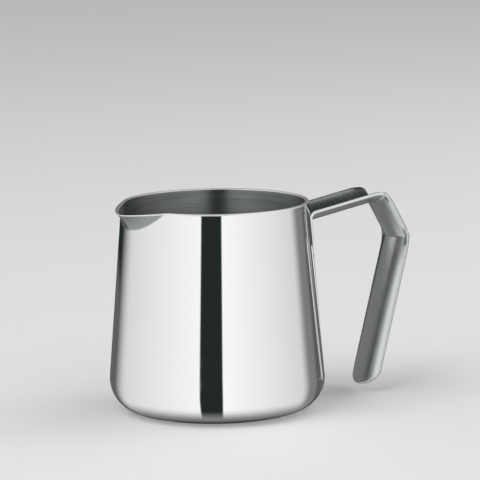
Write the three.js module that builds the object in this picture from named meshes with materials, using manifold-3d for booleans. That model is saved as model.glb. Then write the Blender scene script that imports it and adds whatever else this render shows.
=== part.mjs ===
// Small stainless melting and pouring pot: a deep-drawn tapered cup with a pinched spout,
// and a channel-section strip handle spot-welded below the rim, opposite the spout.
// Millimetres. +Z is up, the base stands on z = 0 with its centre at the origin,
// the handle points along +X and the spout along -X.

import * as THREE from 'three';
import { mergeVertices } from 'three/addons/utils/BufferGeometryUtils.js';
import Module from 'manifold-3d';

const wasm = await Module();
wasm.setup();

// ---- driving dimensions: the cup ----
const rimHeight = 93.5;
const bellyRadius = 48; // widest outer radius, just above the bottom corner
const rimRadius = 41.5; // outer radius at the rim
const cornerRadius = 14.8; // outer bottom corner
const wall = 1.5; // wall and floor
const rimRounding = 0.5; // ground edges of the rim

// ---- driving dimensions: the spout ----
const spoutReach = 6.6; // how far its tip stands out of the wall
const spoutDrop = 2.2; // how much lower the rim is at its tip
const spoutDepth = 10.2; // from the rim down to where it leaves the wall
const spoutHalfAngle = THREE.MathUtils.degToRad(27); // half its width at the rim
const spoutTipRounding = 0.16; // rounding of the ridge, as a part of the half width
const spoutFlare = 0.5; // below 1, the spout's sides widen fast at first and slowly near the rim
const spoutSwell = 1.3; // above 1, the spout leaves the wall gently
const spoutEdgeBlend = 0.1; // softness of the line where it leaves the wall

// ---- driving dimensions: the handle strip ----
const stripWidth = 22.2;
const stripThickness = 1.55;
const tabDrop = 13.15; // from the rim down to the line where the tab bends into the arm
const tabLength = 16.5; // of the tab below that line, on the centre line
const tabDepth = 0.6; // channel depth of each stretch of the strip
const armDepth = 5;
const shoulderDepth = 3.8;
const gripDepth = 3.6;
const armReach = 36.9; // tab bend to first bend, along X
const armRise = THREE.MathUtils.degToRad(9.9); // above level
const shoulderDrop = 16.9; // first bend to second bend, along Z
const shoulderFall = THREE.MathUtils.degToRad(60.4); // below level
const gripLength = 68.8; // second bend to the end, along the grip
const gripLean = THREE.MathUtils.degToRad(15.2); // back towards the cup, from upright
const middleBendRadii = [1.2, 1.6, 0.8]; // tab, first and second bend, on the crown of the channel
const edgeBendRadii = [3, 11, 20]; // the same bends on its edges
const tabEndRounding = 3; // how much shorter the edges are than the middle
const gripEndRounding = 8.5;

// ---- driving dimensions: the spot welds ----
const weldRadius = 2.5;
const weldSpacing = 8;
const weldPocket = 0.9; // how deep each weld reaches into the tab

const weldGap = 0.3; // clearance between pieces that touch

// ---- mesh fineness ----
const aroundSteps = 80;
const cornerSteps = 8;
const spoutLevels = 8;
const acrossSteps = 12;
const weldSides = 24;
const crowding = 0.45; // brings the steps round the cup closer together at the spout
const sameSpot = 1e-4; // points nearer than this are one point

const mirrorSteel = new THREE.MeshStandardMaterial({ color: 0xd8dadb, roughness: 0.08, metalness: 1 });
const satinSteel = new THREE.MeshStandardMaterial({ color: 0xb9bcbe, roughness: 0.25, metalness: 1 });
const weldSteel = new THREE.MeshStandardMaterial({ color: 0x8d8f91, roughness: 0.5, metalness: 1 });

// ---- the cup's outline ----
// The wall is the straight line from the bottom corner's arc to the rim.
const cornerCentre = new THREE.Vector2(bellyRadius - cornerRadius, cornerRadius);
const wallTilt = tiltOfWall();
const wallLean = Math.tan(wallTilt);

function tiltOfWall() {
  const across = rimRadius - cornerCentre.x;
  const up = rimHeight - cornerCentre.y;
  const distance = Math.hypot(across, up);
  return Math.atan2(up, across) - Math.PI / 2 + Math.asin(cornerRadius / distance);
}

function outerRadiusAt(height) {
  return rimRadius + (rimHeight - height) * wallLean;
}

function innerRadiusAt(height) {
  return outerRadiusAt(height) - wall / Math.cos(wallTilt);
}

function cornerArc(radius, steps) {
  const points = [];
  for (let step = 0; step <= steps; step += 1) {
    const angle = -Math.PI / 2 + (Math.PI / 2 + wallTilt) * (step / steps);
    const x = cornerCentre.x + radius * Math.cos(angle);
    points.push(new THREE.Vector2(x, cornerCentre.y + radius * Math.sin(angle)));
  }
  return points;
}

function cupOutline() {
  const levels = [];
  for (let step = 0; step < spoutLevels; step += 1) {
    levels.push(rimHeight - spoutDepth + (spoutDepth - rimRounding) * (step / (spoutLevels - 1)));
  }
  const rimOuter = new THREE.Vector2(outerRadiusAt(rimHeight) - rimRounding, rimHeight);
  const rimInner = new THREE.Vector2(innerRadiusAt(rimHeight) + rimRounding, rimHeight);
  return [
    new THREE.Vector2(0, 0),
    ...cornerArc(cornerRadius, cornerSteps),
    ...levels.map((height) => new THREE.Vector2(outerRadiusAt(height), height)),
    rimOuter,
    rimInner,
    ...levels.reverse().map((height) => new THREE.Vector2(innerRadiusAt(height), height)),
    ...cornerArc(cornerRadius - wall, cornerSteps).reverse(),
    new THREE.Vector2(0, wall),
  ];
}

// ---- the spout ----
// The straight ramp from nothing, with its corner rounded off.
function softRamp(value) {
  if (value <= -spoutEdgeBlend) return 0;
  if (value >= spoutEdgeBlend) return value;
  return (value + spoutEdgeBlend) ** 2 / (4 * spoutEdgeBlend);
}

// How much of the push reaches an angle from the spout's middle, at a share of its depth.
function spoutShare(angle, rise) {
  if (rise <= 0) return 0;
  const halfAngle = spoutHalfAngle * rise ** spoutFlare;
  const across = Math.hypot(angle / halfAngle, spoutTipRounding) - spoutTipRounding;
  return softRamp(1 - across) * Math.min(rise, 1) ** spoutSwell;
}

function makeCup() {
  const geometry = new THREE.LatheGeometry(cupOutline(), aroundSteps);
  geometry.rotateX(Math.PI / 2);
  const position = geometry.attributes.position;
  for (let index = 0; index < position.count; index += 1) {
    const x = position.getX(index);
    const y = position.getY(index);
    const even = Math.atan2(y, -x);
    const angle = even - crowding * Math.sin(even);
    const height = position.getZ(index);
    const share = spoutShare(angle, (height - rimHeight + spoutDepth) / spoutDepth);
    const radius = Math.hypot(x, y) + spoutReach * share;
    const lowered = height - spoutDrop * share;
    position.setXYZ(index, -radius * Math.cos(angle), radius * Math.sin(angle), lowered);
  }
  return cleanGeometry(geometry);
}

// ---- the handle strip ----
// Two guides run along the strip in the XZ plane: one on the crown of its channel, one level
// with its two edges. Each is a chain of straight runs with rounded bends.
function direction(angle) {
  return new THREE.Vector2(Math.cos(angle), Math.sin(angle));
}

function insideOf(angle) {
  return new THREE.Vector2(Math.sin(angle), -Math.cos(angle));
}

const runAngles = [Math.PI / 2 + wallTilt, armRise, -shoulderFall, -Math.PI / 2 - gripLean];
const runDepths = [tabDepth, armDepth, shoulderDepth, gripDepth];
const crownCorners = cornersOfCrown();

function cornersOfCrown() {
  const tabHeight = rimHeight - tabDrop;
  const standOff = (weldGap + stripThickness) / Math.cos(wallTilt);
  const tabBend = new THREE.Vector2(outerRadiusAt(tabHeight) + standOff, tabHeight);
  const firstBend = tabBend.clone();
  firstBend.add(direction(armRise).multiplyScalar(armReach / Math.cos(armRise)));
  const secondBend = firstBend.clone();
  const shoulder = shoulderDrop / Math.sin(shoulderFall);
  secondBend.add(direction(-shoulderFall).multiplyScalar(shoulder));
  return [
    tabBend.clone().addScaledVector(direction(runAngles[0]), -tabLength),
    tabBend,
    firstBend,
    secondBend,
    secondBend.clone().addScaledVector(direction(runAngles[3]), gripLength),
  ];
}

// The line of a run at the level of the edges, as a point on it.
function edgeStart(run) {
  return crownCorners[run].clone().addScaledVector(insideOf(runAngles[run]), -runDepths[run]);
}

function meetingPoint(pointA, angleA, pointB, angleB) {
  const towards = direction(angleA);
  const normal = insideOf(angleB);
  const distance = pointB.clone().sub(pointA).dot(normal) / towards.dot(normal);
  return pointA.clone().addScaledVector(towards, distance);
}

function cornersOfEdges() {
  const corners = [edgeStart(0)];
  for (let run = 1; run < runAngles.length; run += 1) {
    corners.push(meetingPoint(edgeStart(run - 1), runAngles[run - 1], edgeStart(run), runAngles[run]));
  }
  const last = runAngles.length - 1;
  corners.push(crownCorners[last + 1].clone().addScaledVector(insideOf(runAngles[last]), -gripDepth));
  return corners;
}

// Points along a guide: bend steps at each corner, run steps between bends.
const bendSteps = [4, 6, 4];
const runSteps = [2, 5, 2, 6];

function bendPoints(corner, angleIn, angleOut, radius, steps) {
  const turn = angleIn - angleOut;
  const reach = radius * Math.tan(turn / 2);
  const centre = corner.clone().addScaledVector(direction(angleIn), -reach);
  centre.addScaledVector(insideOf(angleIn), radius);
  const points = [];
  for (let step = 0; step <= steps; step += 1) {
    const angle = angleIn - turn * (step / steps);
    points.push(centre.clone().addScaledVector(insideOf(angle), -radius));
  }
  return points;
}

function guidePoints(start, corners, end, radii) {
  const points = [start];
  corners.forEach((corner, bend) => {
    const steps = bendSteps[bend];
    const round = bendPoints(corner, runAngles[bend], runAngles[bend + 1], radii[bend], steps);
    addRun(points, round[0], runSteps[bend]);
    points.push(...round.slice(1));
  });
  addRun(points, end, runSteps[corners.length]);
  return points;
}

function addRun(points, end, steps) {
  const start = points[points.length - 1];
  for (let step = 1; step <= steps; step += 1) {
    points.push(start.clone().lerp(end, step / steps));
  }
}

// The free ends are rounded: near an end, the rows of points bend to the rounded outline.
const endRows = 5;
const endZoneShare = 1.4; // length of the rounded zone, in lengths of the rounding

function rowsOfStrip() {
  const edgeCorners = cornersOfEdges();
  const tabZone = tabEndRounding * endZoneShare;
  const gripZone = gripEndRounding * endZoneShare;
  const last = crownCorners.length - 1;
  const tabWay = direction(runAngles[0]);
  const gripWay = direction(runAngles[runAngles.length - 1]);
  const inner = (corners, radii) => guidePoints(
    corners[0].clone().addScaledVector(tabWay, tabZone),
    corners.slice(1, last),
    corners[last].clone().addScaledVector(gripWay, -gripZone),
    radii,
  );
  const crown = inner(crownCorners, middleBendRadii);
  const edge = inner(edgeCorners, edgeBendRadii);
  const rows = crown.map((point, index) => ({ crown: point, edge: edge[index], end: 0, share: 1 }));
  for (let step = endRows - 1; step >= 0; step -= 1) {
    const share = step / endRows;
    rows.unshift({ crown: crownCorners[0], edge: edgeCorners[0], end: -1, share });
    rows.push({ crown: crownCorners[last], edge: edgeCorners[last], end: 1, share });
  }
  return rows;
}

// One point of the palm side of the strip: across runs from -1 at one edge to 1 at the other.
function palmPoint(row, across) {
  const flat = row.crown.clone().lerp(row.edge, across ** 2);
  if (row.end !== 0) {
    const rounding = row.end < 0 ? tabEndRounding : gripEndRounding;
    const way = direction(row.end < 0 ? runAngles[0] : runAngles[runAngles.length - 1]);
    const shortening = rounding * (1 - Math.sqrt(Math.max(0, 1 - across ** 2)));
    const fromTip = row.share * rounding * endZoneShare + (1 - row.share) * shortening;
    flat.addScaledVector(way, -row.end * fromTip);
  }
  return new THREE.Vector3(flat.x, (across * stripWidth) / 2, flat.y);
}

// The trough side lies one thickness away, square to the palm side.
function stripGrid() {
  const rows = rowsOfStrip();
  const palm = rows.map((row) => acrossValues().map((across) => palmPoint(row, across)));
  const trough = palm.map((line, row) => line.map((point, column) => {
    const before = palm[Math.max(row - 1, 0)][column];
    const after = palm[Math.min(row + 1, palm.length - 1)][column];
    const left = line[Math.max(column - 1, 0)];
    const right = line[Math.min(column + 1, acrossSteps)];
    const along = after.clone().sub(before);
    const sideways = right.clone().sub(left);
    const away = along.cross(sideways).normalize();
    return point.clone().addScaledVector(away, stripThickness);
  }));
  return { palm, trough };
}

function acrossValues() {
  return Array.from({ length: acrossSteps + 1 }, (_, step) => -1 + (2 * step) / acrossSteps);
}

// A box of the same number of rows and columns takes the strip's points as its own.
function makeStrip() {
  const { palm, trough } = stripGrid();
  const lastRow = palm.length - 1;
  const geometry = new THREE.BoxGeometry(1, 1, 1, lastRow, acrossSteps, 1);
  const position = geometry.attributes.position;
  for (let index = 0; index < position.count; index += 1) {
    const row = Math.round((position.getX(index) + 0.5) * lastRow);
    const column = Math.round((position.getY(index) + 0.5) * acrossSteps);
    const side = position.getZ(index) > 0 ? trough : palm;
    const point = side[row][column];
    position.setXYZ(index, point.x, point.y, point.z);
  }
  return cleanGeometry(geometry);
}

// ---- the spot welds ----
// Each weld is a round nugget half way into the tab, square to the wall.
function weldCentre(order) {
  const middle = crownCorners[1].clone().addScaledVector(direction(runAngles[0]), -tabLength / 2);
  middle.addScaledVector(direction(runAngles[0]), (order - 0.5) * weldSpacing);
  return middle.addScaledVector(insideOf(runAngles[0]), -stripThickness);
}

// A short round bar across the tab's back, from a depth inside it to a distance behind it.
function weldBar(order, radius, inside, behind) {
  const length = inside + behind;
  const bar = new THREE.CylinderGeometry(radius, radius, length, weldSides);
  const inward = insideOf(runAngles[0]);
  const centre = weldCentre(order).addScaledVector(inward, (inside - behind) / 2);
  bar.rotateZ(-Math.PI / 2);
  bar.rotateY(-Math.atan2(inward.y, inward.x));
  bar.translate(centre.x, 0, centre.y);
  return bar;
}

// ---- solids ----
function cleanGeometry(source) {
  const plain = source.index ? source : source.clone();
  plain.deleteAttribute('normal');
  plain.deleteAttribute('uv');
  return mergeVertices(plain, sameSpot);
}

function toSolid(geometry) {
  const clean = cleanGeometry(geometry);
  const vertProperties = new Float32Array(clean.attributes.position.array);
  const triVerts = new Uint32Array(clean.index.array);
  return new wasm.Manifold(new wasm.Mesh({ numProp: 3, vertProperties, triVerts }));
}

function toGeometry(solid) {
  const mesh = solid.getMesh();
  const geometry = new THREE.BufferGeometry();
  geometry.setAttribute('position', new THREE.BufferAttribute(mesh.vertProperties, 3));
  geometry.setIndex(new THREE.BufferAttribute(mesh.triVerts, 1));
  return geometry;
}

function makeHandle() {
  let handle = toSolid(makeStrip());
  for (const order of [0, 1]) {
    handle = handle.subtract(toSolid(weldBar(order, weldRadius + weldGap, weldPocket, 1)));
  }
  return toGeometry(handle);
}

function makeWeld(order) {
  return cleanGeometry(weldBar(order, weldRadius, weldPocket - weldGap, 0));
}

function named(name, geometry, material) {
  const mesh = new THREE.Mesh(geometry, material);
  mesh.name = name;
  return mesh;
}

const pot = new THREE.Group();
pot.add(named('pot_body', makeCup(), mirrorSteel));
pot.add(named('handle', makeHandle(), satinSteel));
pot.add(named('spot_weld_lower', makeWeld(0), weldSteel));
pot.add(named('spot_weld_upper', makeWeld(1), weldSteel));

export default pot;
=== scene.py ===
"""Stainless melting pot: a polished tapered cup with a spout formed by pinching and a channelled strip
handle.
"""

import math

import bpy
import numpy as np
from bpy.props import FloatProperty, FloatVectorProperty, IntProperty, PointerProperty
from mathutils import Matrix, Vector


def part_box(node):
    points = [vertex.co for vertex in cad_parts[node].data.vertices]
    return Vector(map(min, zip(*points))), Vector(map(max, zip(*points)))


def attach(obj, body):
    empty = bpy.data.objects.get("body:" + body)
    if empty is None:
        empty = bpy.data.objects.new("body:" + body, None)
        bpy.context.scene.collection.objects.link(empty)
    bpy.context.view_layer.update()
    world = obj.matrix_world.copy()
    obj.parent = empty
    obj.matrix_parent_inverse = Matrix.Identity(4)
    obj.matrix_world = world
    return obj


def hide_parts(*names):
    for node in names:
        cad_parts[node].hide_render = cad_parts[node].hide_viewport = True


bl_info = {
    "name": "Melting Pot",
    "version": (1, 0, 0),
    "blender": (4, 5, 0),
    "location": "3D View > Sidebar > Melting Pot",
    "description": "Builds a stainless melting and pouring pot with its strip handle",
    "category": "Add Mesh",
}

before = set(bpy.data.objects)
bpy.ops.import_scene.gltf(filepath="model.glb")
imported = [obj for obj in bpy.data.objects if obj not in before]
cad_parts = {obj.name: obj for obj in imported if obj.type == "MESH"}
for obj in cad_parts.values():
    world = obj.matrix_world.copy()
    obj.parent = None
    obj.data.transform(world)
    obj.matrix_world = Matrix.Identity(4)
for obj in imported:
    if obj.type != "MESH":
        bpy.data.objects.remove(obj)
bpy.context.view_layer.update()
CUP_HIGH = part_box("pot_body")[1]
STRIP_LOW, STRIP_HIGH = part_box("handle")
MM = 0.001
# Finishes of the cup, in the order of its materials.
OUTSIDE, RIM, INSIDE = 0, 1, 2


# ---- sizes and colours ----
def length(name, description, default):
    return FloatProperty(name=name, description=description, default=default, unit="LENGTH")


def angle(name, description, degrees):
    value = math.radians(degrees)
    return FloatProperty(name=name, description=description, default=value, subtype="ANGLE")


def share(name, description, default):
    return FloatProperty(name=name, description=description, default=default)


def colour(name, description, default):
    return FloatVectorProperty(
        name=name, description=description, default=default, subtype="COLOR", size=3
    )


class CupSizes(bpy.types.PropertyGroup):
    rim_height: length("Rim height", "From the surface it stands on to the rim", CUP_HIGH.z)
    belly_radius: length("Belly radius", "Widest outer radius, above the bottom corner", 48 * MM)
    rim_radius: length("Rim radius", "Outer radius at the rim", 41.5 * MM)
    corner_radius: length("Corner radius", "Outer bottom corner", 14.8 * MM)
    wall: length("Wall", "Thickness of the wall and the floor", 1.5 * MM)
    rim_rounding: length("Rim rounding", "Ground edges of the rim", 0.5 * MM)
    around_steps: IntProperty(
        name="Steps around", description="Mesh steps round the cup", default=384
    )
    crowding: share("Crowding", "Brings the steps closer together at the spout", 0.62)


class SpoutSizes(bpy.types.PropertyGroup):
    reach: length("Reach", "How far the tip stands out of the wall", 6.6 * MM)
    drop: length("Drop", "How much lower the rim is at the tip", 2.2 * MM)
    depth: length("Depth", "From the rim down to where the spout starts", 10.2 * MM)
    half_angle: angle("Half angle", "Half the width of the spout at the rim", 27)
    tip_rounding: share("Tip rounding", "Rounding of the ridge, in half widths", 0.16)
    edge_blend: share("Edge blend", "Softness of the line where it leaves the wall", 0.1)
    flare: share("Flare", "Below 1, the sides widen fast at first", 0.5)
    swell: share("Swell", "Above 1, the spout leaves the wall gently", 1.3)


class HandleSizes(bpy.types.PropertyGroup):
    strip_width: length("Strip width", "Across the strip", STRIP_HIGH.y - STRIP_LOW.y)
    thickness: length("Thickness", "Of the sheet", 1.55 * MM)
    edge_rounding: length("Edge rounding", "Tumbled edges of the strip", 0.45 * MM)
    gap: length("Gap", "Between the tab and the wall", 0.3 * MM)
    tab_drop: length("Tab drop", "From the rim down to the tab bend", 13.15 * MM)
    tab_length: length("Tab length", "Along the wall", 16.5 * MM)
    arm_reach: length("Arm reach", "Tab bend to first bend, level", 36.9 * MM)
    arm_rise: angle("Arm rise", "Slope of the arm above level", 9.9)
    shoulder_drop: length("Shoulder drop", "First bend to second bend, upright", 16.9 * MM)
    shoulder_fall: angle("Shoulder fall", "Slope of the shoulder below level", 60.4)
    grip_length: length("Grip length", "Second bend to the free end", 68.8 * MM)
    grip_lean: angle("Grip lean", "Of the grip, back towards the cup", 15.2)
    tab_end_rounding: length("Tab end", "How much shorter the edges are there", 3 * MM)
    grip_end_rounding: length("Grip end", "How much shorter the edges are there", 8.5 * MM)
    section_power: share("Section", "2 is a round channel, more has a flatter web", 2.0)


class WeldSizes(bpy.types.PropertyGroup):
    radius: length("Radius", "Of each spot weld", 2.5 * MM)
    spacing: length("Spacing", "Between the two welds", 8 * MM)
    pocket: length("Pocket", "How deep each weld reaches into the tab", 0.9 * MM)


class Finishes(bpy.types.PropertyGroup):
    mirror: colour("Mirror", "Polished outside of the cup", (0.81, 0.812, 0.81))
    # The spout's colour: partly dulled steel, partly painted shade, far darker than the polished wall so
    # that its reflection looks dim.
    spout_dulling_and_shade: colour("Pinched", "Outside of the spout, dulled by the pinching", (0.30, 0.315, 0.32))
    ground: colour("Ground", "Rim of the cup", (0.93, 0.935, 0.935))
    # Inside colour: partly the brushed steel's own tone, partly painted shade, set darker than the outside
    # so that the hollow looks dimmer.
    inside_steel_and_shade: colour("Satin", "Brushed inside of the cup", (0.64, 0.665, 0.67))
    strip: colour("Strip", "Handle strip", (0.72, 0.735, 0.74))
    weld: colour("Weld", "Spot welds", (0.36, 0.34, 0.32))
    straw: colour("Straw", "Heat tint round a weld", (0.66, 0.55, 0.38))
    floor: colour("Floor", "Studio floor", (0.80, 0.80, 0.79))
    void: colour("Dark room", "Tint of what shows between the light panels", (0.76, 1.0, 1.0))


class StudioSizes(bpy.types.PropertyGroup):
    azimuth: angle("Azimuth", "Where the camera stands round the pot", -29.5)
    elevation: angle("Elevation", "How far the camera looks down", 8.74)
    roll: angle("Roll", "Tilt of the camera", 0.78)
    distance: length("Distance", "Camera to the point it looks at", 1.5)
    aim_out: length("Aim out", "The point it looks at, from the cup's axis", 10.89 * MM)
    aim_height: length("Aim height", "The point it looks at, above the floor", 75.83 * MM)
    lens: share("Lens", "Focal length in millimetres on a 36 mm sensor", 253.65)
    floor_size: length("Floor size", "Side of the floor", 30.0)


GROUPS = {
    "melting_cup": CupSizes,
    "melting_spout": SpoutSizes,
    "melting_handle": HandleSizes,
    "melting_weld": WeldSizes,
    "melting_finish": Finishes,
    "melting_studio": StudioSizes,
}


# ---- shader graphs ----
class Wire:
    """One output of a shader node. Sums on it add Math nodes."""

    def __init__(self, graph, socket):
        self.graph = graph
        self.socket = socket

    def __add__(self, other):
        return self.graph.math("ADD", self, other)

    __radd__ = __add__

    def __sub__(self, other):
        return self.graph.math("SUBTRACT", self, other)

    def __rsub__(self, other):
        return self.graph.math("SUBTRACT", other, self)

    def __mul__(self, other):
        return self.graph.math("MULTIPLY", self, other)

    __rmul__ = __mul__

    def __truediv__(self, other):
        return self.graph.math("DIVIDE", self, other)

    def __pow__(self, other):
        return self.graph.math("POWER", self, other)

    def smooth(self, low, high, start=0.0, end=1.0):
        """Goes from start to end as this value goes from low to high."""
        return self.map_range("SMOOTHSTEP", low, high, start, end)

    def straight(self, low, high, start=0.0, end=1.0):
        """The same at an even rate."""
        return self.map_range("LINEAR", low, high, start, end)

    def map_range(self, interpolation, *limits):
        settings = {"interpolation_type": interpolation}
        return self.graph.add("ShaderNodeMapRange", settings, dict(enumerate([self, *limits])))


class Graph:
    """A node tree that grows by expressions."""

    def __init__(self, tree):
        self.tree = tree
        tree.nodes.clear()

    def node(self, kind, settings, values):
        """A node of a kind, with its settings, and the value or the wire of each socket."""
        made = self.tree.nodes.new(kind)
        for key, value in settings.items():
            setattr(made, key, value)
        for key, value in values.items():
            socket = made.inputs[key]
            if isinstance(value, Wire):
                self.tree.links.new(value.socket, socket)
            else:
                socket.default_value = value
        return made

    def add(self, kind, settings=None, values=None, output=0):
        """The wire of one output of such a node."""
        return Wire(self, self.node(kind, settings or {}, values or {}).outputs[output])

    def math(self, operation, *values):
        return self.add("ShaderNodeMath", {"operation": operation}, dict(enumerate(values)))

    def split(self, vector):
        made = self.node("ShaderNodeSeparateXYZ", {}, {0: vector})
        return [Wire(self, socket) for socket in made.outputs]

    def join(self, x, y, z):
        return self.add("ShaderNodeCombineXYZ", {}, {0: x, 1: y, 2: z})

    def vector(self, operation, *values):
        return self.add("ShaderNodeVectorMath", {"operation": operation}, dict(enumerate(values)))

    def dot(self, first, second):
        settings = {"operation": "DOT_PRODUCT"}
        return self.add("ShaderNodeVectorMath", settings, {0: first, 1: second}, output=1)

    def mix(self, factor, first, second):
        """Blends two colours."""
        values = {0: factor, 6: first, 7: second}
        return self.add("ShaderNodeMix", {"data_type": "RGBA"}, values, output=2)

    def noise(self, vector, scale, detail=2.0, roughness=0.5):
        values = {"Vector": vector, "Scale": scale, "Detail": detail, "Roughness": roughness}
        return self.add("ShaderNodeTexNoise", {}, values)

    def place(self):
        """The point on the object, in metres."""
        return self.add("ShaderNodeTexCoord", output=3)


def solid(rgb, brightness=1.0):
    """A colour for a socket, at a share of its brightness."""
    return (*[brightness * part for part in rgb], 1.0)


def start_material(name):
    material = bpy.data.materials.new(name)
    material.use_nodes = True
    return material, Graph(material.node_tree)


def finish_metal(graph, base, roughness, height=None, depth=0.0, anisotropic=0.0, rotation=0.0):
    """Ends a graph in one metal shader. The height feeds its normal, depth metres deep."""
    values = {
        "Base Color": base,
        "Roughness": roughness,
        "Metallic": 1.0,
        "Anisotropic": anisotropic,
        "Anisotropic Rotation": rotation,
    }
    if height is not None:
        bump = {"Height": height, "Strength": 1.0, "Distance": depth}
        values["Normal"] = graph.add("ShaderNodeBump", {}, bump)
    shader = graph.add("ShaderNodeBsdfPrincipled", {}, values)
    graph.node("ShaderNodeOutputMaterial", {}, {"Surface": shader})


def ring_place(graph):
    """Two coordinates that run round the cup's axis with no seam, the height, and the radius."""
    x, y, z = graph.split(graph.place())
    radius = (x * x + y * y) ** 0.5
    return x / radius, y / radius, z, radius


def mirror_material(finish, shape):
    """Outside of the cup: mirror polish with faint buffing lines and smears, dulled on the spout, where
    its far darker colour is painted shade.
    """
    material, graph = start_material("polished_steel")
    turn_x, turn_y, z, radius = ring_place(graph)
    lines = graph.noise(graph.join(turn_x * 1.5, turn_y * 1.5, z * 900), 1.0, 3.0, 0.6)
    smears = graph.noise(graph.place(), 38.0, 4.0, 0.55).smooth(0.52, 0.72)
    cloud = graph.noise(graph.place(), 14.0, 2.0)
    # The spout is where the surface stands proud of the plain wall, near the rim.
    proud = radius - (shape.outer(0.0) - z * math.tan(shape.tilt))
    rim_height = shape.cup.rim_height
    near_rim = z.smooth(rim_height * 0.85, rim_height * 0.88)
    spout_dulling_and_shade = proud.smooth(0.06 * MM, 0.5 * MM) * near_rim
    roughness = 0.025 + 0.025 * lines + 0.035 * smears + 0.16 * spout_dulling_and_shade
    dull = 0.35 * cloud + 0.12 * lines
    tone = graph.mix(dull, solid(finish.mirror), solid(finish.mirror, 0.97))
    # Painted shade: on the spout the colour turns far darker than the polished wall, on top of the rougher
    # finish set above.
    tone = graph.mix(spout_dulling_and_shade * (0.92 + 0.16 * cloud), tone, solid(finish.spout_dulling_and_shade))
    finish_metal(graph, tone, roughness, lines, 0.0000012)
    return material


def satin_material(finish, marks):
    """Inside of the cup: brushed round the axis, with two faint round marks behind the welds. Its colour,
    darker than the outside's, is partly the steel's own tone and partly painted shade of the hollow.
    """
    material, graph = start_material("brushed_steel_inside")
    turn_x, turn_y, z, radius = ring_place(graph)
    fine = graph.noise(graph.join(turn_x * 2.2, turn_y * 2.2, z * 2600), 1.0, 3.0, 0.65)
    bands = graph.noise(graph.join(turn_x * 1.3, turn_y * 1.3, z * 420), 1.0, 2.0, 0.5)
    rings = graph.noise(graph.join(radius * 2600, turn_x * 0.8, turn_y * 0.8), 1.0, 3.0, 0.6)
    flat = z.smooth(3 * MM, 8 * MM, 1.0, 0.0)
    grain = fine * (1 - flat) + rings * flat
    tint = weld_tint(graph, marks)
    streaks = grain.straight(0.35, 0.65) * 0.6 + bands.straight(0.35, 0.65) * 0.4
    # Partly painted shade: the inside's colour is darker than the outside's, and the streaks vary it at
    # random.
    tone = graph.mix(streaks, solid(finish.inside_steel_and_shade), solid(finish.inside_steel_and_shade, 0.56))
    tone = graph.mix(0.25 * tint, tone, solid(finish.straw))
    roughness = 0.27 + 0.08 * grain + 0.05 * bands
    finish_metal(graph, tone, roughness, grain, 0.00001, anisotropic=0.9, rotation=0.25)
    return material


def rim_material(finish):
    """The ground rim: brighter than the inside, with grinding lines along it and small nicks."""
    material, graph = start_material("ground_rim_steel")
    turn_x, turn_y, _, radius = ring_place(graph)
    lines = graph.noise(graph.join(turn_x * 3, turn_y * 3, radius * 5200), 1.0, 2.0)
    nicks = graph.noise(graph.place(), 900.0, 2.0).smooth(0.66, 0.74)
    tone = graph.mix(0.3 * lines, solid(finish.ground), solid(finish.mirror))
    finish_metal(graph, tone, 0.46 + 0.1 * lines + 0.1 * nicks, nicks * -1.0 + lines, 0.000004)
    return material


def weld_tint(graph, marks):
    """1 in a ring round each weld, 0 away from it."""
    total = 0.0
    for mark in marks:
        across = graph.vector("SUBTRACT", graph.place(), mark["centre"])
        distance = graph.add("ShaderNodeVectorMath", {"operation": "LENGTH"}, {0: across}, output=1)
        outer = distance.smooth(mark["radius"], mark["radius"] * 1.9, 1.0, 0.0)
        inner = distance.smooth(mark["radius"] * 0.6, mark["radius"])
        total = outer * (0.35 + 0.65 * inner) + total
    return total


def strip_material(finish, marks, half_width):
    """The handle: bright semi-matt steel, brushed along the strip, with its edges rubbed brighter."""
    material, graph = start_material("brushed_strip_steel")
    x, y, z = graph.split(graph.place())
    lines = graph.noise(graph.join(x * 14, y * 2400, z * 14), 1.0, 3.0, 0.6)
    broad = graph.noise(graph.join(x * 5, y * 260, z * 5), 1.0, 2.0)
    rubbed = graph.math("ABSOLUTE", y).smooth(half_width * 0.93, half_width)
    handled = graph.noise(graph.place(), 55.0, 3.0).smooth(0.5, 0.75) * z.smooth(20 * MM, 50 * MM)
    tint = weld_tint(graph, marks)
    dull = 0.4 * lines + 0.2 * broad
    tone = graph.mix(dull, solid(finish.strip), solid(finish.strip, 0.86))
    tone = graph.mix(0.45 * tint, tone, solid(finish.straw))
    roughness = 0.2 + 0.05 * lines + 0.04 * broad + 0.05 * handled - 0.08 * rubbed
    finish_metal(graph, tone, roughness, lines, 0.0000009)
    return material


def weld_material(finish):
    """Spot welds: dull, mottled and heat tinted."""
    material, graph = start_material("weld_steel")
    grain = graph.noise(graph.place(), 2600.0, 4.0, 0.6)
    tone = graph.mix(grain, solid(finish.weld), solid(finish.straw))
    finish_metal(graph, tone, 0.35 + 0.3 * grain, grain, 0.00004)
    return material


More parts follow.
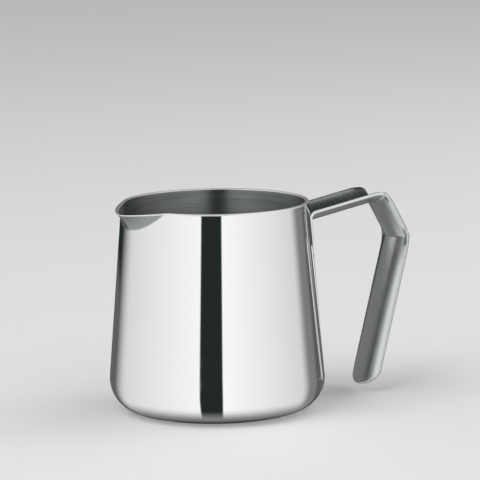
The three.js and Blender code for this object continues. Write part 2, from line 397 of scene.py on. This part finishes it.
# ---- outline of the cup ----
class CupShape:
    """Radii and heights of the cup, as functions of its sizes."""

    def __init__(self, cup, spout):
        self.cup = cup
        self.spout = spout
        # The wall is straight from the rim to where it touches the arc of the bottom corner.
        self.centre = (cup.belly_radius - cup.corner_radius, cup.corner_radius)
        across = cup.rim_radius - self.centre[0]
        up = cup.rim_height - self.centre[1]
        away = math.hypot(across, up)
        self.tilt = math.atan2(up, across) - math.pi / 2 + math.asin(cup.corner_radius / away)

    def outer(self, height):
        return self.cup.rim_radius + (self.cup.rim_height - height) * math.tan(self.tilt)

    def inner(self, height):
        return self.outer(height) - self.cup.wall / math.cos(self.tilt)

    def corner(self, radius, steps):
        """The arc of the bottom corner, from the base up to the wall."""
        out, up = self.centre
        turns = np.linspace(-math.pi / 2, self.tilt, steps + 1)
        return [(out + radius * math.cos(t), up + radius * math.sin(t)) for t in turns]

    def push(self, turn, height):
        """Share of the spout's reach at an angle from its middle."""
        spout = self.spout
        rise = np.maximum((height - self.cup.rim_height + spout.depth) / spout.depth, 1e-6)
        half = spout.half_angle * rise**spout.flare
        across = np.hypot(turn / half, spout.tip_rounding) - spout.tip_rounding
        ramp = 1 - across
        blend = spout.edge_blend
        soft = np.where(ramp > blend, ramp, np.maximum(ramp + blend, 0) ** 2 / (4 * blend))
        return soft * np.minimum(rise, 1) ** spout.swell * (rise > 1e-5)


def spread(start, end, steps):
    """Values between two ends, closer together near both, without the first."""
    return [start + (end - start) * (1 - math.cos(math.pi * i / steps)) / 2 for i in range(1, steps + 1)]


def rim_round(shape, side, steps):
    """Quarter round at one edge of the rim, from the wall up. side is 1 outside, -1 inside."""
    cup = shape.cup
    rounding = cup.rim_rounding
    level = cup.rim_height - rounding
    edge = shape.outer(level) if side > 0 else shape.inner(level)
    middle = edge - side * rounding
    turns = [math.pi / 2 * i / steps for i in range(steps + 1)]
    return [(middle + side * rounding * math.cos(t), level + rounding * math.sin(t)) for t in turns]


def cup_outline(shape):
    """Radius, height and finish of each ring of the cup, from under the base over the rim to the floor."""
    cup, spout = shape.cup, shape.spout
    flat = shape.centre[0]
    spout_start = cup.rim_height - spout.depth
    rim_start = cup.rim_height - cup.rim_rounding
    belly = shape.corner(cup.corner_radius, 1)[-1][1]
    under = [(flat * part, 0.0) for part in (0.35, 0.7, 0.9, 0.975)]
    outer_corner = shape.corner(cup.corner_radius, 40)
    outer_wall = [(shape.outer(h), h) for h in spread(belly, spout_start, 22)]
    outer_spout = [(shape.outer(h), h) for h in np.linspace(spout_start, rim_start, 34)[1:-1]]
    rim = rim_round(shape, 1, 6) + rim_round(shape, -1, 6)[::-1]
    inner_spout = [(shape.inner(h), h) for h in np.linspace(rim_start, spout_start, 26)[1:]]
    inner_wall = [(shape.inner(h), h) for h in spread(spout_start, belly, 14)][:-1]
    inner_corner = shape.corner(cup.corner_radius - cup.wall, 24)[::-1]
    floor = [(flat * part, cup.wall) for part in (0.975, 0.9, 0.7, 0.35)]
    sides = {
        OUTSIDE: under + outer_corner + outer_wall + outer_spout,
        RIM: rim,
        INSIDE: inner_spout + inner_wall + inner_corner + floor,
    }
    return [(r, h, finish) for finish, side in sides.items() for r, h in side]


def grid_mesh(name, points, faces, finishes, materials):
    mesh = bpy.data.meshes.new(name)
    mesh.from_pydata([tuple(p) for p in points], [], faces)
    for material in materials:
        mesh.materials.append(material)
    mesh.polygons.foreach_set("material_index", finishes)
    mesh.polygons.foreach_set("use_smooth", [True] * len(faces))
    mesh.update()
    piece = bpy.data.objects.new(name, mesh)
    bpy.context.scene.collection.objects.link(piece)
    return piece


def cup_mesh(shape, materials, dimples):
    """The outline turned round the axis and pushed out at the spout, with dimples in the inside."""
    cup, spout = shape.cup, shape.spout
    outline = cup_outline(shape)
    steps = cup.around_steps
    even = np.linspace(-math.pi, math.pi, steps, endpoint=False)
    turn = even - cup.crowding * np.sin(even)
    points = [(0.0, 0.0, 0.0)]
    for radius, height, finish in outline:
        push = shape.push(turn, height)
        far = radius + spout.reach * push
        ring = np.stack([-far * np.cos(turn), far * np.sin(turn), height - spout.drop * push], axis=1)
        if finish == INSIDE:
            ring = ring + dimples(ring)
        points.extend(ring.tolist())
    points.append((0.0, 0.0, cup.wall))
    last = len(points) - 1
    faces, finishes = [], []
    for k in range(steps):
        following = (k + 1) % steps
        faces.append((0, 1 + k, 1 + following))
        finishes.append(OUTSIDE)
        for row in range(len(outline) - 1):
            low = 1 + row * steps
            faces.append((low + k, low + steps + k, low + steps + following, low + following))
            finishes.append(outline[row + 1][2])
        low = 1 + (len(outline) - 1) * steps
        faces.append((last, low + following, low + k))
        finishes.append(INSIDE)
    return grid_mesh("cup", points, faces, finishes, materials)


# ---- the strip, in the plane of out from the axis and up ----
def along(turn):
    """The way a run of the strip goes."""
    return np.array([math.cos(turn), math.sin(turn)])


def inside(turn):
    """The way from a run of the strip to the inside of its bends."""
    return np.array([math.sin(turn), -math.cos(turn)])


def crossing(point_a, turn_a, point_b, turn_b):
    """Where two lines meet, each given by a point and its angle."""
    normal = inside(turn_b)
    return point_a + along(turn_a) * np.dot(point_b - point_a, normal) / np.dot(along(turn_a), normal)


def bend_arc(corner, turn_in, turn_out, radius, shares):
    """Points of a rounded bend, at shares of its turn."""
    turn = turn_in - turn_out
    centre = corner - along(turn_in) * radius * math.tan(turn / 2) + inside(turn_in) * radius
    return [centre - inside(turn_in - turn * s) * radius for s in shares]


class StripShape:
    """Three guides of the strip: the crown of the channel, its free edges, which turn softly, and a
    fold line, which carries the sharp crease of a bend out to the start of the edges."""

    # Tab, arm, shoulder and grip: how deep the channel is in each.
    DEPTHS = (0.6 * MM, 5.0 * MM, 3.8 * MM, 3.6 * MM)
    # Tab, first and second bend: radius on the crown and on the edges, how far from the corner the
    # edges start to turn while the crown is still straight, and where on the edge's arc the crease ends.
    BENDS = (
        (1.2 * MM, 3.0 * MM, 0.0, 0.5),
        (1.6 * MM, 9.0 * MM, 3.0 * MM, 0.5),
        (0.8 * MM, 17.0 * MM, 5.4 * MM, 0.41),
    )
    # Share of a bend's turn that the edges make beside the crease.
    CREASE_SHARE = 0.1
    # Share of the half width where the crease starts to give way to the soft edge.
    SOFT_FROM = 0.84
    # Length of the shaped part at each end, as a multiple of how much shorter the edges are there.
    END_ZONE = 1.4
    # Mesh steps round each part of a bend, and along the tab, the arm, the shoulder and the grip.
    BEND_STEPS = 12
    RUN_STEPS = (10, 26, 8, 40)

    def __init__(self, sizes, cup):
        self.sizes = sizes
        self.turns = (
            math.pi / 2 + cup.tilt,
            sizes.arm_rise,
            -sizes.shoulder_fall,
            -math.pi / 2 - sizes.grip_lean,
        )
        level = cup.cup.rim_height - sizes.tab_drop
        stand = (sizes.gap + sizes.thickness) / math.cos(cup.tilt)
        tab_bend = np.array([cup.outer(level) + stand, level])
        first = tab_bend + along(self.turns[1]) * sizes.arm_reach / math.cos(sizes.arm_rise)
        second = first + along(self.turns[2]) * sizes.shoulder_drop / math.sin(sizes.shoulder_fall)
        start = tab_bend - along(self.turns[0]) * sizes.tab_length
        end = second + along(self.turns[3]) * sizes.grip_length
        self.crown = [start, tab_bend, first, second, end]
        self.edge = self.edge_corners()

    def edge_corners(self):
        """Corners of the free edges, each run of which lies a channel's depth off the crown."""
        runs = zip(self.crown, self.turns, self.DEPTHS)
        lines = [start - inside(turn) * depth for start, turn, depth in runs]
        corners = [lines[0]]
        for run in (1, 2, 3):
            corners.append(crossing(lines[run - 1], self.turns[run - 1], lines[run], self.turns[run]))
        corners.append(self.crown[4] - inside(self.turns[3]) * self.DEPTHS[3])
        return corners

    def rows(self):
        """A crown point, an edge point and a fold point for each row, without the two ends."""
        sizes = self.sizes
        head = along(self.turns[0]) * sizes.tab_end_rounding * self.END_ZONE
        tail = along(self.turns[3]) * sizes.grip_end_rounding * self.END_ZONE
        rows = [(self.crown[0] + head, self.edge[0] + head, self.edge[0] + head)]
        for bend in (0, 1, 2):
            rounded = self.bend_rows(bend)
            self.add_run(rows, rounded[0], self.RUN_STEPS[bend])
            rows.extend(rounded[1:])
        last = (self.crown[4] - tail, self.edge[4] - tail, self.edge[4] - tail)
        self.add_run(rows, last, self.RUN_STEPS[3])
        return rows

    def bend_rows(self, bend):
        """Rows round a bend: a tight crease on the crown, with a long soft turn at the edges."""
        crown_radius, edge_radius, lead, crease = self.BENDS[bend]
        turn_in, turn_out = self.turns[bend], self.turns[bend + 1]
        half = self.CREASE_SHARE / 2 if lead else 0.5
        tight = np.linspace(0, 1, self.BEND_STEPS + 1)
        crown_arc = bend_arc(self.crown[bend + 1], turn_in, turn_out, crown_radius, tight)
        fold_arc = bend_arc(self.edge[bend + 1], turn_in, turn_out, crown_radius, tight)
        middle = crease - half + 2 * half * tight
        edge_arc = bend_arc(self.edge[bend + 1], turn_in, turn_out, edge_radius, middle)
        if not lead:
            return list(zip(crown_arc, edge_arc, edge_arc))
        rows = list(zip(crown_arc, edge_arc, fold_arc))
        straight = (edge_radius - crown_radius) * math.tan((turn_in - turn_out) / 2)
        before, after = [], []
        # Away from the crease the rows get further apart.
        for way in (np.linspace(0, 1, self.BEND_STEPS + 1)[1:] ** 1.5)[::-1]:
            part = 1 - way
            shares = [part * (crease - half), 1 - part * (1 - crease - half)]
            edges = bend_arc(self.edge[bend + 1], turn_in, turn_out, edge_radius, shares)
            back, on = -along(turn_in) * way, along(turn_out) * way
            before.append((crown_arc[0] + back * lead, edges[0], fold_arc[0] + back * straight))
            after.append((crown_arc[-1] + on * lead, edges[1], fold_arc[-1] + on * straight))
        return before + rows + after[::-1]

    @staticmethod
    def add_run(rows, end, steps):
        start = rows[-1]
        for step in range(1, steps + 1):
            part = step / steps
            rows.append(tuple(a + (b - a) * part for a, b in zip(start, end)))

    def surface(self):
        """Palm side of the strip as a grid, and how far each point is from the nearest free edge."""
        sizes = self.sizes
        half_width = sizes.strip_width / 2
        rounding = sizes.edge_rounding
        arc = 1 - np.cos(np.linspace(0, math.pi / 2, 6))
        side = 1 - arc * rounding / half_width
        middle = np.linspace(side[-1], -side[-1], 37)
        across = np.concatenate([side[:-1], middle, -side[:-1][::-1]])[::-1]
        side_gap = (1 - np.abs(across)) * half_width
        shortening = 1 - np.sqrt(np.maximum(0, 1 - across**2))
        rows, gaps = [], []

        weight = np.abs(across)[:, None] ** sizes.section_power
        soft = np.clip((np.abs(across)[:, None] - self.SOFT_FROM) / (1 - self.SOFT_FROM), 0, 1)
        soft = soft * soft * (3 - 2 * soft)

        def add(crown, edge, fold, offset, gap):
            flat = crown + (fold + (edge - fold) * soft - crown) * weight + offset
            rows.append(np.stack([flat[:, 0], across * half_width, flat[:, 1]], axis=1))
            gaps.append(np.minimum(side_gap, gap))

        def end_rows(crown, edge, turn, depth, back):
            zone = depth * self.END_ZONE
            parts = np.concatenate([arc * rounding / zone, np.linspace(rounding / zone, 1, 12)[1:-1]])
            for part in parts if back > 0 else parts[::-1]:
                away = part * zone + (1 - part) * depth * shortening
                offset = away[:, None] * along(turn)[None, :] * back
                add(crown, edge, edge, offset, part * (zone - depth * shortening))

        end_rows(self.crown[0], self.edge[0], self.turns[0], sizes.tab_end_rounding, 1)
        for crown, edge, fold in self.rows():
            add(crown, edge, fold, np.zeros((len(across), 2)), np.full(len(across), 1.0))
        end_rows(self.crown[4], self.edge[4], self.turns[3], sizes.grip_end_rounding, -1)
        return np.array(rows), np.array(gaps)


def grid_normals(points):
    """Direction away from the palm at each point of a grid."""
    down = np.gradient(points, axis=0)
    over = np.gradient(points, axis=1)
    normal = np.cross(down, over)
    return normal / np.linalg.norm(normal, axis=2, keepdims=True)


def handle_mesh(strip, materials, weld_marks):
    """The palm side, and the other side one thickness off it, joined round the rounded edges."""
    sizes = strip.sizes
    palm, gaps = strip.surface()
    normal = grid_normals(palm)
    half = sizes.thickness / 2
    rounding = sizes.edge_rounding
    inner = np.minimum(gaps, rounding)
    thick = half - rounding + np.sqrt(np.maximum(0, rounding**2 - (rounding - inner) ** 2))
    middle = palm + normal * half
    top = middle - normal * thick[:, :, None]
    top = top + weld_marks(top)[:, :, None] * normal
    bottom = middle + normal * thick[:, :, None]
    rows, columns = palm.shape[:2]
    points = np.concatenate([top.reshape(-1, 3), bottom.reshape(-1, 3)]).tolist()
    total = rows * columns
    faces = []
    for i in range(rows - 1):
        for j in range(columns - 1):
            a = i * columns + j
            b, c, d = a + 1, a + columns + 1, a + columns
            faces.append((a, b, c, d))
            faces.append((total + a, total + d, total + c, total + b))
    ring = list(range(columns))
    ring += [i * columns + columns - 1 for i in range(1, rows)]
    ring += [(rows - 1) * columns + j for j in range(columns - 2, -1, -1)]
    ring += [i * columns for i in range(rows - 2, 0, -1)]
    for a, b in zip(ring, ring[1:] + ring[:1]):
        faces.append((b, a, total + a, total + b))
    return grid_mesh("handle_strip", points, faces, [0] * len(faces), materials)


def weld_places(strip, weld):
    """Centre of each spot weld on the back of the tab, and the way towards the palm."""
    sizes = strip.sizes
    turn = strip.turns[0]
    middle = strip.crown[1] - along(turn) * sizes.tab_length / 2
    back = middle - inside(turn) * sizes.thickness
    return [back + along(turn) * (order - 0.5) * weld.spacing for order in (0, 1)], inside(turn)


def to_space(flat):
    return Vector((flat[0], 0.0, flat[1]))


def weld_mesh(name, centre, way, weld, gap, material):
    """A round nugget from the cup's wall into the tab, with a small bead round each end."""
    depth = weld.pocket - gap
    # Radius, as a share of the weld's, and how far into the tab from its back.
    outline = [(0.0, -gap * 0.9), (0.55, -gap * 0.9), (0.9, -gap * 0.85), (1.0, -gap * 0.5), (0.93, 0.0)]
    outline += [(0.96, depth * 0.3), (1.0, depth * 0.7), (0.93, depth * 0.95), (0.6, depth), (0.0, depth)]
    sides = 48
    axis = to_space(way)
    first = Vector((0, 1, 0))
    second = axis.cross(first)
    points, faces = [], []
    for radius, height in outline[1:-1]:
        for k in range(sides):
            turn = 2 * math.pi * k / sides
            spoke = first * math.cos(turn) + second * math.sin(turn)
            points.append(to_space(centre) + spoke * radius * weld.radius + axis * height)
    ends = len(points)
    points.append(to_space(centre) + axis * outline[0][1])
    points.append(to_space(centre) + axis * outline[-1][1])
    last = (len(outline) - 3) * sides
    for k in range(sides):
        following = (k + 1) % sides
        faces.append((ends, following, k))
        faces.append((ends + 1, last + k, last + following))
        for row in range(len(outline) - 3):
            low = row * sides
            faces.append((low + k, low + following, low + sides + following, low + sides + k))
    return grid_mesh(name, points, faces, [0] * len(faces), [material])


# ---- operators ----
def shapes(scene):
    cup = CupShape(scene.melting_cup, scene.melting_spout)
    strip = StripShape(scene.melting_handle, cup)
    return cup, strip


def weld_marks_on(surface_point, radius):
    return {"centre": tuple(surface_point), "radius": radius}


def dimple(points, centre, radius, depth):
    """How deep a shallow round dent is at each point."""
    distance = np.linalg.norm(np.asarray(points) - np.array(centre), axis=-1) / radius
    return depth * np.clip(1 - distance**2, 0, 1) ** 2


class MELTING_OT_cup(bpy.types.Operator):
    """Builds the cup with its spout"""

    bl_idname = "melting.cup"
    bl_label = "Cup"

    def execute(self, context):
        scene = context.scene
        cup, strip = shapes(scene)
        weld = scene.melting_weld
        centres, way = weld_places(strip, weld)
        through = strip.sizes.gap + scene.melting_cup.wall
        inner = [to_space(c - way * through) for c in centres]
        marks = [weld_marks_on(c, weld.radius * 1.1) for c in inner]

        def dents(ring):
            push = sum(dimple(ring, c, weld.radius * 1.15, 0.12 * MM) for c in inner)
            return np.asarray(push)[:, None] * np.array(to_space(way))

        finish = scene.melting_finish
        materials = [mirror_material(finish, cup), rim_material(finish), satin_material(finish, marks)]
        piece = cup_mesh(cup, materials, dents)
        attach(piece, "root")
        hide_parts("pot_body")
        return {"FINISHED"}


class MELTING_OT_handle(bpy.types.Operator):
    """Builds the handle strip"""

    bl_idname = "melting.handle"
    bl_label = "Handle"

    def execute(self, context):
        scene = context.scene
        strip = shapes(scene)[1]
        weld = scene.melting_weld
        centres, way = weld_places(strip, weld)
        face = [to_space(c + way * strip.sizes.thickness) for c in centres]
        marks = [weld_marks_on(c, weld.radius) for c in face]

        def dents(points):
            return sum(dimple(points, c, weld.radius * 1.2, 0.18 * MM) for c in face)

        half_width = strip.sizes.strip_width / 2
        piece = handle_mesh(strip, [strip_material(scene.melting_finish, marks, half_width)], dents)
        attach(piece, "root")
        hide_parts("handle")
        return {"FINISHED"}


class MELTING_OT_welds(bpy.types.Operator):
    """Builds the two spot welds between the tab and the wall"""

    bl_idname = "melting.welds"
    bl_label = "Spot welds"

    def execute(self, context):
        scene = context.scene
        strip = shapes(scene)[1]
        weld = scene.melting_weld
        centres, way = weld_places(strip, weld)
        material = weld_material(scene.melting_finish)
        for place, centre in zip(("lower", "upper"), centres):
            piece = weld_mesh(f"weld_{place}", centre, way, weld, strip.sizes.gap, material)
            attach(piece, "root")
            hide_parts(f"spot_weld_{place}")
        return {"FINISHED"}


def studio_axes(studio):
    """Towards the camera on the level, to its right, and the way it looks."""
    turn, down = studio.azimuth, studio.elevation
    towards = Vector((math.sin(turn), -math.cos(turn), 0))
    right = Vector((math.cos(turn), math.sin(turn), 0))
    looking = -towards * math.cos(down) - Vector((0, 0, 1)) * math.sin(down)
    return towards, right, looking


def light_tent(scene):
    """A dark room with two tall white panels, left and right of a gap behind the camera."""
    studio, finish = scene.melting_studio, scene.melting_finish
    towards, right, looking = studio_axes(studio)
    world = bpy.data.worlds.new("light_tent")
    world.use_nodes = True
    scene.world = world
    graph = Graph(world.node_tree)
    ray = graph.add("ShaderNodeTexCoord", output=0)
    # A surface that faces this way shows the ray's part of the tent in the main view. All that
    # follows goes by the facing: turn is to the right of the view, and rise above the level, both in
    # degrees, so the tent is fixed in the room and laid out for that view.
    facing = graph.vector("NORMALIZE", graph.vector("SUBTRACT", ray, tuple(looking)))
    aside = graph.dot(facing, tuple(right))
    ahead = graph.dot(facing, tuple(towards))
    height = graph.split(facing)[2]
    turn = graph.math("ARCTAN2", aside, ahead) * math.degrees(1)
    rise = graph.math("ARCSINE", height) * math.degrees(1)
    away = graph.math("ABSOLUTE", turn)
    # The panels dim away from the gap, and the right one has a grey part at its far end.
    white = 1.19 - 0.0069 * away - 0.0006 * turn
    left = turn.smooth(-76, -57)
    right_side = turn.smooth(51, 60, 1.0, 0.33) * turn.smooth(64, 70, 1.0, 0.42)
    # The gap leans with the rise, so that it stands upright on the tapered wall of a rolled view.
    upright = turn - rise.straight(3.6, 5.7, -0.8, 0.8)
    gap = 1 - upright.smooth(-8.9, -8.0) * upright.smooth(3.3, 4.2, 1.0, 0.0)
    # Overhead it is nearly dark, with a faint glow straight above.
    top = rise.smooth(44, 52, 1.0, 0.03) + rise.smooth(62, 80) * 0.09
    panels = white * left * right_side * gap * top
    # Low down the panels fade into the grey of the table, and that into the dark under the cup.
    low = rise.smooth(-52, -24)
    table = rise.straight(-66, -50, 0.03, 0.27) * (away - 0.4 * rise).smooth(79, 89, 1.0, 0.04)
    # Beyond the panels there is a weak glow up to just above the level.
    sides = rise.smooth(2.5, 4.5, 1.0, 0.0) * away.smooth(60, 72) * 0.13
    glow = panels * low + table * (1 - low)
    glow = graph.math("MAXIMUM", glow, sides * low)
    # What is dark takes the tint of the room, and the lit panels are all but white.
    lit = graph.math("MINIMUM", glow * 9, 1.0)
    tint = graph.mix(lit, solid(finish.void), (1.0, 1.0, 0.995, 1))
    darkest = 0.0265
    strength = graph.math("MAXIMUM", glow, darkest)
    tent = graph.add("ShaderNodeBackground", {}, {0: tint, 1: strength})
    backdrop = graph.add("ShaderNodeBackground", {}, {0: (0.83, 0.83, 0.825, 1), 1: 1.0})
    straight_to_camera = graph.add("ShaderNodeLightPath", output=0)
    shown = graph.add("ShaderNodeMixShader", {}, {0: straight_to_camera, 1: tent, 2: backdrop})
    graph.node("ShaderNodeOutputWorld", {}, {"Surface": shown})


def studio_floor(scene):
    """A large pale floor. Polished metal shows the tent below it instead."""
    size = scene.melting_studio.floor_size / 2
    corners = [(-size, -size, 0), (size, -size, 0), (size, size, 0), (-size, size, 0)]
    material, graph = start_material("pale_floor")
    speckle = graph.noise(graph.place(), 30.0, 4.0)
    tone = graph.mix(0.2 * speckle, solid(scene.melting_finish.floor), (0.74, 0.74, 0.73, 1))
    values = {"Base Color": tone, "Roughness": 0.7, "Specular IOR Level": 0.2}
    shader = graph.add("ShaderNodeBsdfPrincipled", {}, values)
    graph.node("ShaderNodeOutputMaterial", {}, {"Surface": shader})
    floor = grid_mesh("studio_floor", corners, [(0, 1, 2, 3)], [0], [material])
    floor.visible_glossy = False


def card(scene, name, corners, strength):
    """A card that only the metal shows. Corners are right of the axis, towards the camera, and up."""
    towards, right, _ = studio_axes(scene.melting_studio)
    points = [right * s + towards * d + Vector((0, 0, z)) for s, d, z in corners]
    material, graph = start_material(name)
    # Clouds make it up to 7 percent brighter or darker.
    dimmest, brightest = 0.93, 1.07
    clouds = graph.noise(graph.place(), 12.0, 2.0).straight(0.3, 0.7)
    card_white = (0.98, 1.0, 1.0)
    tone = graph.mix(clouds, solid(card_white, dimmest / brightest), solid(card_white))
    glow = graph.add("ShaderNodeEmission", {}, {"Color": tone, "Strength": brightest * strength})
    graph.node("ShaderNodeOutputMaterial", {}, {"Surface": glow})
    faces = [tuple(range(first, first + 4)) for first in range(0, len(points), 4)]
    made = grid_mesh(name, points, faces, [0] * len(faces), [material])
    made.visible_camera = False
    made.visible_diffuse = False
    made.visible_shadow = False


def upright_card(start, end, low, high):
    """Corners of a card that stands on a line from start to end."""
    return [(*start, low), (*end, low), (*end, high), (*start, high)]


def level_card(left, right, back, front, height):
    """Corners of a card that lies at a height."""
    return [(s, d, height) for s, d in ((left, back), (right, back), (right, front), (left, front))]


def cards(scene):
    """Grey behind the pot and on the floor there, and white between the pot and the grip."""
    back, front = -100 * MM, -47 * MM
    left, right = -30 * MM, 45 * MM
    # The upright ones reach below the floor, which the metal doesn't show.
    low, high = -60 * MM, 90 * MM
    grey = upright_card((left, back), (right, back), low, high)
    grey += upright_card((left, front), (left, back), low, high)
    grey += level_card(-60 * MM, 110 * MM, back, front, MM)
    card(scene, "grey_cards", grey, 0.21)
    beside_grip = 50 * MM
    white = upright_card((beside_grip, -20 * MM), (beside_grip, -10 * MM), 12 * MM, 71 * MM)
    card(scene, "white_card", white, 1.05)


def soft_light(scene, name, towards_camera, to_right, height, size, watts):
    """A wide soft lamp over the floor, which polished metal doesn't show."""
    towards, right, _ = studio_axes(scene.melting_studio)
    lamp = bpy.data.lights.new(name, "AREA")
    lamp.shape = "SQUARE"
    lamp.size = size
    lamp.energy = watts
    holder = bpy.data.objects.new(name, lamp)
    place = towards * towards_camera + right * to_right + Vector((0, 0, height))
    holder.location = place
    holder.rotation_mode = "QUATERNION"
    holder.rotation_quaternion = place.to_track_quat("Z", "Y")
    holder.visible_glossy = False
    scene.collection.objects.link(holder)


def studio_camera(scene):
    """The camera of the main view, turned a little about the way it looks."""
    studio = scene.melting_studio
    _, level_right, looking = studio_axes(studio)
    level_up = level_right.cross(looking)
    right = level_right * math.cos(studio.roll) - level_up * math.sin(studio.roll)
    up = level_right * math.sin(studio.roll) + level_up * math.cos(studio.roll)
    aim = level_right * studio.aim_out + Vector((0, 0, studio.aim_height))
    lens = bpy.data.cameras.new("camera")
    lens.lens = studio.lens
    lens.sensor_width = 36
    lens.clip_end = 100
    camera = bpy.data.objects.new("camera", lens)
    turned = Matrix((right, up, -looking)).transposed().to_4x4()
    camera.matrix_world = Matrix.Translation(aim - looking * studio.distance) @ turned
    scene.collection.objects.link(camera)
    scene.camera = camera


class MELTING_OT_stage(bpy.types.Operator):
    """Sets up the floor, the light and the camera"""

    bl_idname = "melting.stage"
    bl_label = "Stage"

    def execute(self, context):
        scene = context.scene
        light_tent(scene)
        studio_floor(scene)
        cards(scene)
        soft_light(scene, "key_lamp", 0.7, -0.6, height=1.3, size=1.2, watts=9)
        soft_light(scene, "fill_lamp", -0.5, 0.8, height=1.3, size=1.4, watts=7)
        studio_camera(scene)
        scene.view_settings.view_transform = "Standard"
        return {"FINISHED"}


class MELTING_PT_panel(bpy.types.Panel):
    bl_label = "Melting Pot"
    bl_idname = "MELTING_PT_panel"
    bl_space_type = "VIEW_3D"
    bl_region_type = "UI"
    bl_category = "Melting Pot"

    def draw(self, context):
        for operator in OPERATORS:
            self.layout.operator(operator.bl_idname)


OPERATORS = (MELTING_OT_cup, MELTING_OT_handle, MELTING_OT_welds, MELTING_OT_stage)


def register():
    for group in GROUPS.values():
        bpy.utils.register_class(group)
    for name, group in GROUPS.items():
        setattr(bpy.types.Scene, name, PointerProperty(type=group))
    for operator in OPERATORS:
        bpy.utils.register_class(operator)
    bpy.utils.register_class(MELTING_PT_panel)


def unregister():
    bpy.utils.unregister_class(MELTING_PT_panel)
    for operator in reversed(OPERATORS):
        bpy.utils.unregister_class(operator)
    for name, group in reversed(GROUPS.items()):
        delattr(bpy.types.Scene, name)
        bpy.utils.unregister_class(group)


def main():
    register()
    bpy.ops.melting.cup()
    bpy.ops.melting.handle()
    bpy.ops.melting.welds()
    bpy.ops.melting.stage()


if __name__ == "__main__":
    main()
